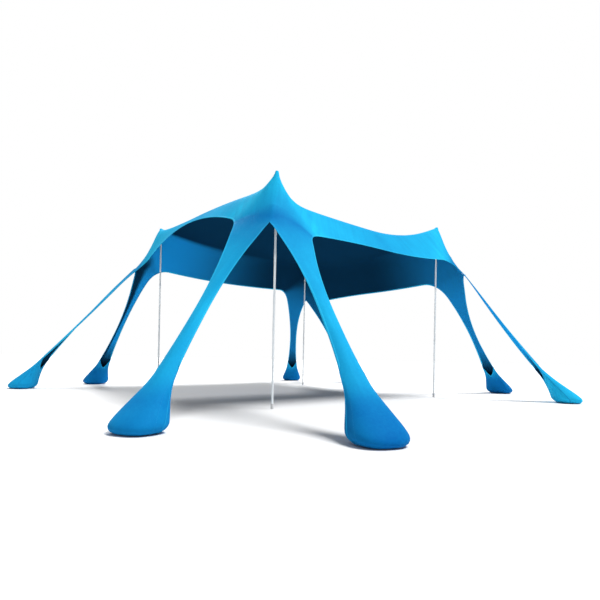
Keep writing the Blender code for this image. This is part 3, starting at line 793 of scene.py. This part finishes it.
thread = Finish("sewing_thread", Specular_IOR_Level=0.2)
strand = thread.noise(thread.node("ShaderNodeTexCoord", output=3), 900.0)
thread.feed(Base_Color=thread.mix(strand, (0.01, 0.30, 0.60, 1.0), (0.05, 0.50, 0.85, 1.0)),
            Roughness=0.55 + strand * 0.2)
stitch_rows = stitch_tree(thread.material)
hem_finish = knit("hem_knit_outer", (0.005, 0.17, 0.48, 1.0), (0.030, 0.64, 0.95, 1.0),
                  shine=0.01, fuzz=0.12)
pairs = {f"arch_{corner}": [n for n in ARMS if ARMS[n][0] == corner] for corner in CORNERS}
pairs.update({f"side_{names[0]}": names for names in
              ([n for n in ARMS if arms[n].side == side and arms[n].signs["xy".index(side)] == sign]
               for side, sign in SIDES)})
hems, seams = [], []
for label, (first, second) in pairs.items():
    inner = label.startswith("arch")
    rows = np.concatenate([hem_rows(first, inner), hem_rows(second, inner)[-2::-1]])
    # The hem takes the painted light and shade of the rows of cloth beside it
    half = np.interp(np.arange((len(rows) + 1) // 2), PAINTED_LIGHT_ROWS, PAINTED_LIGHT)
    drawn = np.concatenate([half, half[-2::-1]])
    band, lines = add_band(f"hem_{label}", rows, drawn, np.array([0.0, 0.0, 1.0]))
    hems.append(band)
    seams += lines
hems.append(add_stitches("hem_stitches", seams))

# The poles
# Each is three lengths of white-coated aluminium tube that plug into each other in short sleeves, on a
# ribbed moulded foot, with a round moulded cap that takes the sheet's tip. The caps keep their CAD shape.
POLE_RADIUS = 0.0095
POLE_JOINTS = (0.68, 1.32)
POLE_ENDS = (0.0453, 1.9538)
SLEEVE_LENGTH = 0.055
SLEEVE_WALL = 0.0008
FOOT_RIBS = 4
ROUND_SIDES = 28


def add_turned(name, profile, centre, material):
    """A round piece from a profile of (radius, height) points that runs up from the axis to the axis."""
    turn = 2 * math.pi * np.arange(ROUND_SIDES) / ROUND_SIDES
    rings, vertices = [], []
    for radius, height in profile:
        around = 1 if radius == 0 else ROUND_SIDES
        rings.append(np.arange(around) + len(vertices))
        vertices += [(centre[0] + radius * math.cos(a), centre[1] + radius * math.sin(a), height)
                     for a in turn[:around]]
    faces = []
    for low, high in zip(rings, rings[1:]):
        for k in range(ROUND_SIDES):
            n = (k + 1) % ROUND_SIDES
            face = [low[k % len(low)], low[n % len(low)], high[n % len(high)], high[k % len(high)]]
            faces.append(list(dict.fromkeys(int(v) for v in face)))
    piece = new_piece(name, vertices, faces, [material])
    piece.data.set_sharp_from_angle(angle=math.radians(35.0))
    return piece


coated = Finish("pole_tube_finish")
place = coated.node("ShaderNodeTexCoord", output=3)
drawn_out = coated.node("ShaderNodeMapping", None, {"Vector": place, "Scale": (60.0, 60.0, 2.5)})
rubbed = coated.noise(drawn_out, 1.0)
scuffs = coated.noise(place, 35.0, 5.0)
coat = coated.mix(rubbed * 0.7 + scuffs * 0.3, (0.82, 0.89, 0.93, 1.0), (0.93, 0.97, 0.99, 1.0))
coated.feed(Base_Color=coat, Roughness=0.24 + scuffs * 0.2)
moulded = Finish("pole_fitting_finish")
speckle = moulded.noise(moulded.node("ShaderNodeTexCoord", output=3), 240.0)
moulded.feed(Base_Color=moulded.mix(speckle, (0.55, 0.56, 0.57, 1.0), (0.68, 0.69, 0.70, 1.0)),
             Roughness=0.5 + speckle * 0.2,
             Normal=moulded.node("ShaderNodeBump", None, {"Strength": 0.2, "Distance": 0.0003,
                                                          "Height": speckle}))
for corner, (signs, _, _) in CORNERS.items():
    foot_of_pole = np.array(signs) * HALF + SQUARE_CENTRE
    profile = [(0.0, POLE_ENDS[0])]
    sections = zip((POLE_ENDS[0],) + POLE_JOINTS, POLE_JOINTS + (POLE_ENDS[1],))
    for low, high in sections:
        profile += [(POLE_RADIUS - 0.0008, low), (POLE_RADIUS, low + 0.0006)]
        if high in POLE_JOINTS:
            start = high - SLEEVE_LENGTH
            wide = POLE_RADIUS + SLEEVE_WALL
            profile += [(POLE_RADIUS, start), (wide, start + 0.0015), (wide, high - 0.0012),
                        (wide - 0.0005, high - 0.0004)]
        else:
            profile += [(POLE_RADIUS, high - 0.0006), (POLE_RADIUS - 0.0008, high)]
    profile.append((0.0, POLE_ENDS[1]))
    tube = add_turned(f"tube_{corner}", profile, foot_of_pole, coated.material)
    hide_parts(*[f"pole_{corner}_{level}" for level in ("lower", "middle", "upper")])
    profile = [(0.0, 0.0), (0.0108, 0.0), (0.0124, 0.0012), (0.0130, 0.0040)]
    for k in range(FOOT_RIBS):
        start = 0.0060 + 0.0080 * k
        profile += [(0.0130, start + 0.0018), (0.0119, start + 0.0028), (0.0119, start + 0.0058),
                    (0.0130, start + 0.0068)]
    profile += [(0.0127, 0.0410), (0.0112, 0.0450), (0.0, 0.0450)]
    foot = add_turned(f"foot_{corner}", profile, foot_of_pole, moulded.material)
    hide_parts(f"pole_{corner}_foot")
    cap = bpy.data.objects[f"pole_{corner}_cap"]
    cap.data.materials.clear()
    cap.data.materials.append(moulded.material)

# The sand pockets
# The end of each arm widens, folds under and comes back up as a bag of the same knit, sewn at its sides.
# Its mouth faces the pole, with a hemmed lip cut in a V, and it is half full of sand.
TOE_ROUND = 0.063
LIP_LOW = 0.24
LIP_POINTS = 49
LIP_END = 0.14
# How much painted light the lip's hem gets
LIP_PAINTED_LIGHT = 0.4
TAUT_FROM = 0.18
SAND_LEVEL = 0.130
SAND_CROWN = 0.024
SAND_DEPTH = [0.0, 0.0, 0.02]
SAND_RINGS = (0.25, 0.5, 0.7, 0.85, 0.97)
SEAM_RADIUS = 0.0021
SEAM_SIDES = 6
SEAM_ROWS = 40
# How much painted light the side seams get
SEAM_PAINTED_LIGHT = 0.3
SEAM_STITCH_IN = 0.007
SEAM_STITCH_OUT = 0.0009
BAG_THIN_AND_PAINTED_GLOW = 0.05
# How much painted light a bag gets low down, where it isn't the usual 0 of painted shade, and the height
# where it starts to fade into the painted light of the arm
BAG_PAINTED_LIGHT = {"front_right": -0.05, "front_left": 0.1, "right_front": 1.2, "left_front": 0.6}
BAG_PAINTED_LIGHT_TO = 0.16
# The bag by height: half its width, how far its face swells out, and how far its face and all of it reach in
POCKET_HEIGHTS = np.array([0.0, 0.06, 0.11, 0.16, 0.21, 0.26, 0.31, 0.36])
POCKET_HALF_WIDTH = np.array([0.155, 0.160, 0.145, 0.125, 0.106, 0.093, 0.084, 0.078])
POCKET_BULGE = np.array([0.013, 0.045, 0.040, 0.025, 0.012, 0.004, 0.001, 0.0])
POCKET_FACE_DEPTH = np.array([0.165, 0.165, 0.145, 0.116, 0.092, 0.074, 0.062, 0.050])
POCKET_DEPTH = np.array([0.292, 0.272, 0.228, 0.182, 0.138, 0.104, 0.0785, 0.065])
POCKET_COLUMNS = 25
POCKET_ROWS = 26
fits = [np.polyfit(POCKET_HEIGHTS, row, 5)
        for row in (POCKET_HALF_WIDTH, POCKET_BULGE, POCKET_FACE_DEPTH, POCKET_DEPTH)]


def pocket_point(arm, x_share, z, facing):
    """Point of the bag's outer (1) or inner (-1) half, in the pocket's own frame with +Y outwards."""
    half_width, bulge, face_depth, depth = (np.polyval(fit, z) for fit in fits)
    inset = TOE_ROUND * (1.0 - np.sqrt(1.0 - np.clip(1.0 - z / TOE_ROUND, 0.0, 1.0) ** 2))
    run = (TOE_OUT + arm.neck_back) / NECK_HEIGHT
    middle = TOE_OUT - run * z + bulge - face_depth
    half_width = half_width - inset
    reach = np.where(facing > 0, face_depth, depth - face_depth) - inset
    round_form = (1.0 - np.abs(x_share) ** 2.5).clip(0.0) ** 0.4
    taut_form = 1.0 - np.abs(x_share) ** 2.2
    form = lerp(round_form, taut_form, smooth((z - TAUT_FROM) / (NECK_HEIGHT - TAUT_FROM)) * (facing > 0))
    return np.stack([half_width * x_share, middle + facing * reach * form, z + 0.0 * x_share], axis=-1)


def in_place(arm, local):
    """Move points from the pocket's own frame to where the pocket lies."""
    plan = arm.place(arm.pocket + local[..., :1] * arm.across + local[..., 1:2] * arm.along)
    return np.concatenate([plan + SQUARE_CENTRE, local[..., 2:]], axis=-1)


def lip_height(x_share):
    return lerp(LIP_LOW, NECK_HEIGHT, np.abs(x_share) ** 1.3)


def closed_rings(rings, centre_low, centre_high, mirrored):
    """Points and faces of a form built of equal rings from the top down, closed by a point at each end."""
    size = len(rings[0])
    faces = []
    for r in range(len(rings) - 1):
        for k in range(size):
            n = (k + 1) % size
            faces.append([r * size + k, (r + 1) * size + k, (r + 1) * size + n, r * size + n])
    vertices = list(np.concatenate(rings))
    for centre, ring in ((centre_low, len(rings) - 1), (centre_high, 0)):
        if centre is not None:
            for k in range(size):
                face = [ring * size + k, len(vertices), ring * size + (k + 1) % size]
                faces.append(face if centre is centre_low else face[::-1])
            vertices.append(centre)
    return np.array(vertices), [face[::-1] for face in faces] if mirrored else faces


def seam_tube(path, outwards):
    """Rings of a thin round seam along a path, standing a little out of the cloth."""
    tangent = unit(np.gradient(path, axis=0))
    side = unit(np.cross(tangent, outwards))
    lift = unit(np.cross(side, tangent))
    turn = 2 * math.pi * np.arange(SEAM_SIDES) / SEAM_SIDES
    centre = path + lift * SEAM_RADIUS * 0.4
    return [centre[k] + SEAM_RADIUS * (np.cos(turn)[:, None] * lift[k] + np.sin(turn)[:, None] * side[k])
            for k in range(len(path))]


sand = Finish("dry_sand", Roughness=0.9)
place = sand.node("ShaderNodeTexCoord", output=3)
grains = sand.noise(place, 1400.0, 2.0)
drifts = sand.noise(place, 30.0, 4.0)
tan = sand.mix(grains * 0.6 + drifts * 0.4, (0.42, 0.33, 0.21, 1.0), (0.80, 0.70, 0.52, 1.0))
sand.feed(Base_Color=tan,
          Normal=sand.node("ShaderNodeBump", None, {"Strength": 0.6, "Distance": 0.002,
                                                    "Height": grains * 0.3 + drifts * 0.7}))
pocket_seams = []
for name, arm in arms.items():
    turn = np.linspace(0.0, math.pi, POCKET_COLUMNS)
    x_share = np.concatenate([np.cos(turn), -np.cos(turn)[1:-1]])
    x_share = np.sign(x_share) * np.abs(x_share) ** 0.8
    facing = np.concatenate([np.ones(POCKET_COLUMNS), -np.ones(POCKET_COLUMNS - 2)])
    across, along = arm.place(arm.across), arm.place(arm.along)
    mirrored = across[0] * along[1] - across[1] * along[0] < 0
    top = np.where(facing > 0, NECK_HEIGHT, lip_height(x_share))
    fall = (1.0 - np.linspace(0.0, 1.0, POCKET_ROWS)) ** 1.15
    rings = [pocket_point(arm, x_share, top * f, facing) for f in fall]
    centre = rings[-1].mean(axis=0)
    rings += [centre + (rings[-1] - centre) * shrink for shrink in (0.8, 0.5, 0.2)]
    local, faces = closed_rings(rings, centre, None, mirrored)
    bag = new_piece(f"sand_bag_{name}", in_place(arm, local), faces, [cloth_outer, cloth_inner_painted_shade])
    steep = math.sqrt(1.0 + ((TOE_OUT + arm.neck_back) / NECK_HEIGHT) ** 2)
    set_attribute(bag, "pull", np.column_stack([ARM_WIDTH / 2 + FLARE - local[:, 0],
                                                (local[:, 2] - NECK_HEIGHT) * steep, local[:, 2] * 0.0]))
    set_attribute(bag, "thin", np.full(len(local), BAG_THIN_AND_PAINTED_GLOW))
    # Painted shade low on the bag, fading up into the painted light of the arm
    up = smooth((local[:, 2] - BAG_PAINTED_LIGHT_TO) / (NECK_HEIGHT - BAG_PAINTED_LIGHT_TO))
    set_attribute(bag, "drawn", lerp(BAG_PAINTED_LIGHT.get(name, 0.0), PAINTED_LIGHT[0], up))
    give_thickness(bag)
    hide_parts(f"sand_pocket_{name}")

    level = pocket_point(arm, x_share, np.full(len(x_share), SAND_LEVEL), facing)
    middle = level.mean(axis=0)
    rings = []
    for share in SAND_RINGS:
        ring = middle + (level - middle) * share
        ripple = 0.003 * np.sin(55.0 * ring[:, 0] + 3.0 * len(rings)) * np.cos(48.0 * ring[:, 1])
        ring[:, 2] += SAND_CROWN * (1.0 - share ** 2) + ripple * (1.0 - share)
        rings.append(ring)
    rings += [middle + (level - middle) * share - SAND_DEPTH for share in (0.9, 0.4)]
    local, faces = closed_rings(rings, middle - SAND_DEPTH, middle + [0.0, 0.0, SAND_CROWN], mirrored)
    new_piece(f"sand_{name}", in_place(arm, local), faces, [sand.material])

    x_share = np.cos(np.linspace(LIP_END, math.pi - LIP_END, LIP_POINTS))
    inwards = -np.ones(LIP_POINTS)
    edge = pocket_point(arm, x_share, lip_height(x_share), inwards)
    tangent = unit(np.gradient(edge, axis=0))
    drop = HEM_DISTANCES / np.maximum(np.linalg.norm(tangent[:, :2], axis=1), 0.4)[:, None]
    rows = np.stack([pocket_point(arm, x_share, lip_height(x_share) - drop[:, k], inwards)
                     for k in range(len(HEM_DISTANCES))], axis=1)
    lip, lines = add_band(f"hem_lip_{name}", in_place(arm, rows), np.full(LIP_POINTS, LIP_PAINTED_LIGHT),
                          np.array([*-along, 0.3]))
    pocket_seams += lines[:2]
    vertices, faces = [], []
    for sign in (1.0, -1.0):
        z = np.linspace(NECK_HEIGHT, 0.004, SEAM_ROWS)
        path = in_place(arm, pocket_point(arm, np.full(SEAM_ROWS, sign), z, np.ones(SEAM_ROWS)))
        outwards = np.array([*(sign * across), 0.0])
        rings = seam_tube(path, outwards)
        points_of, faces_of = closed_rings(rings, path[-1], path[0], False)
        faces += [[len(vertices) + k for k in face] for face in faces_of]
        vertices += list(points_of)
        for half in (1.0, -1.0):
            z = np.linspace(NECK_HEIGHT - 0.02 if half > 0 else LIP_LOW + 0.10, 0.02, SEAM_ROWS)
            near = sign * (1.0 - SEAM_STITCH_IN / np.polyval(fits[0], z))
            line = pocket_point(arm, near, z, np.full(SEAM_ROWS, half))
            opposite = pocket_point(arm, near * 0.0, z, np.full(SEAM_ROWS, -half))
            line = line + unit(line - opposite) * SEAM_STITCH_OUT
            pocket_seams.append(in_place(arm, line))
    seam = new_piece(f"side_seams_{name}", vertices, faces, [hem_finish])
    face_outwards(seam.data)
    set_attribute(seam, "pull", np.array(vertices)[:, [0, 2, 1]])
    set_attribute(seam, "thin", np.zeros(len(vertices)))
    set_attribute(seam, "drawn", np.full(len(vertices), SEAM_PAINTED_LIGHT))
add_stitches("pocket_stitches", pocket_seams)
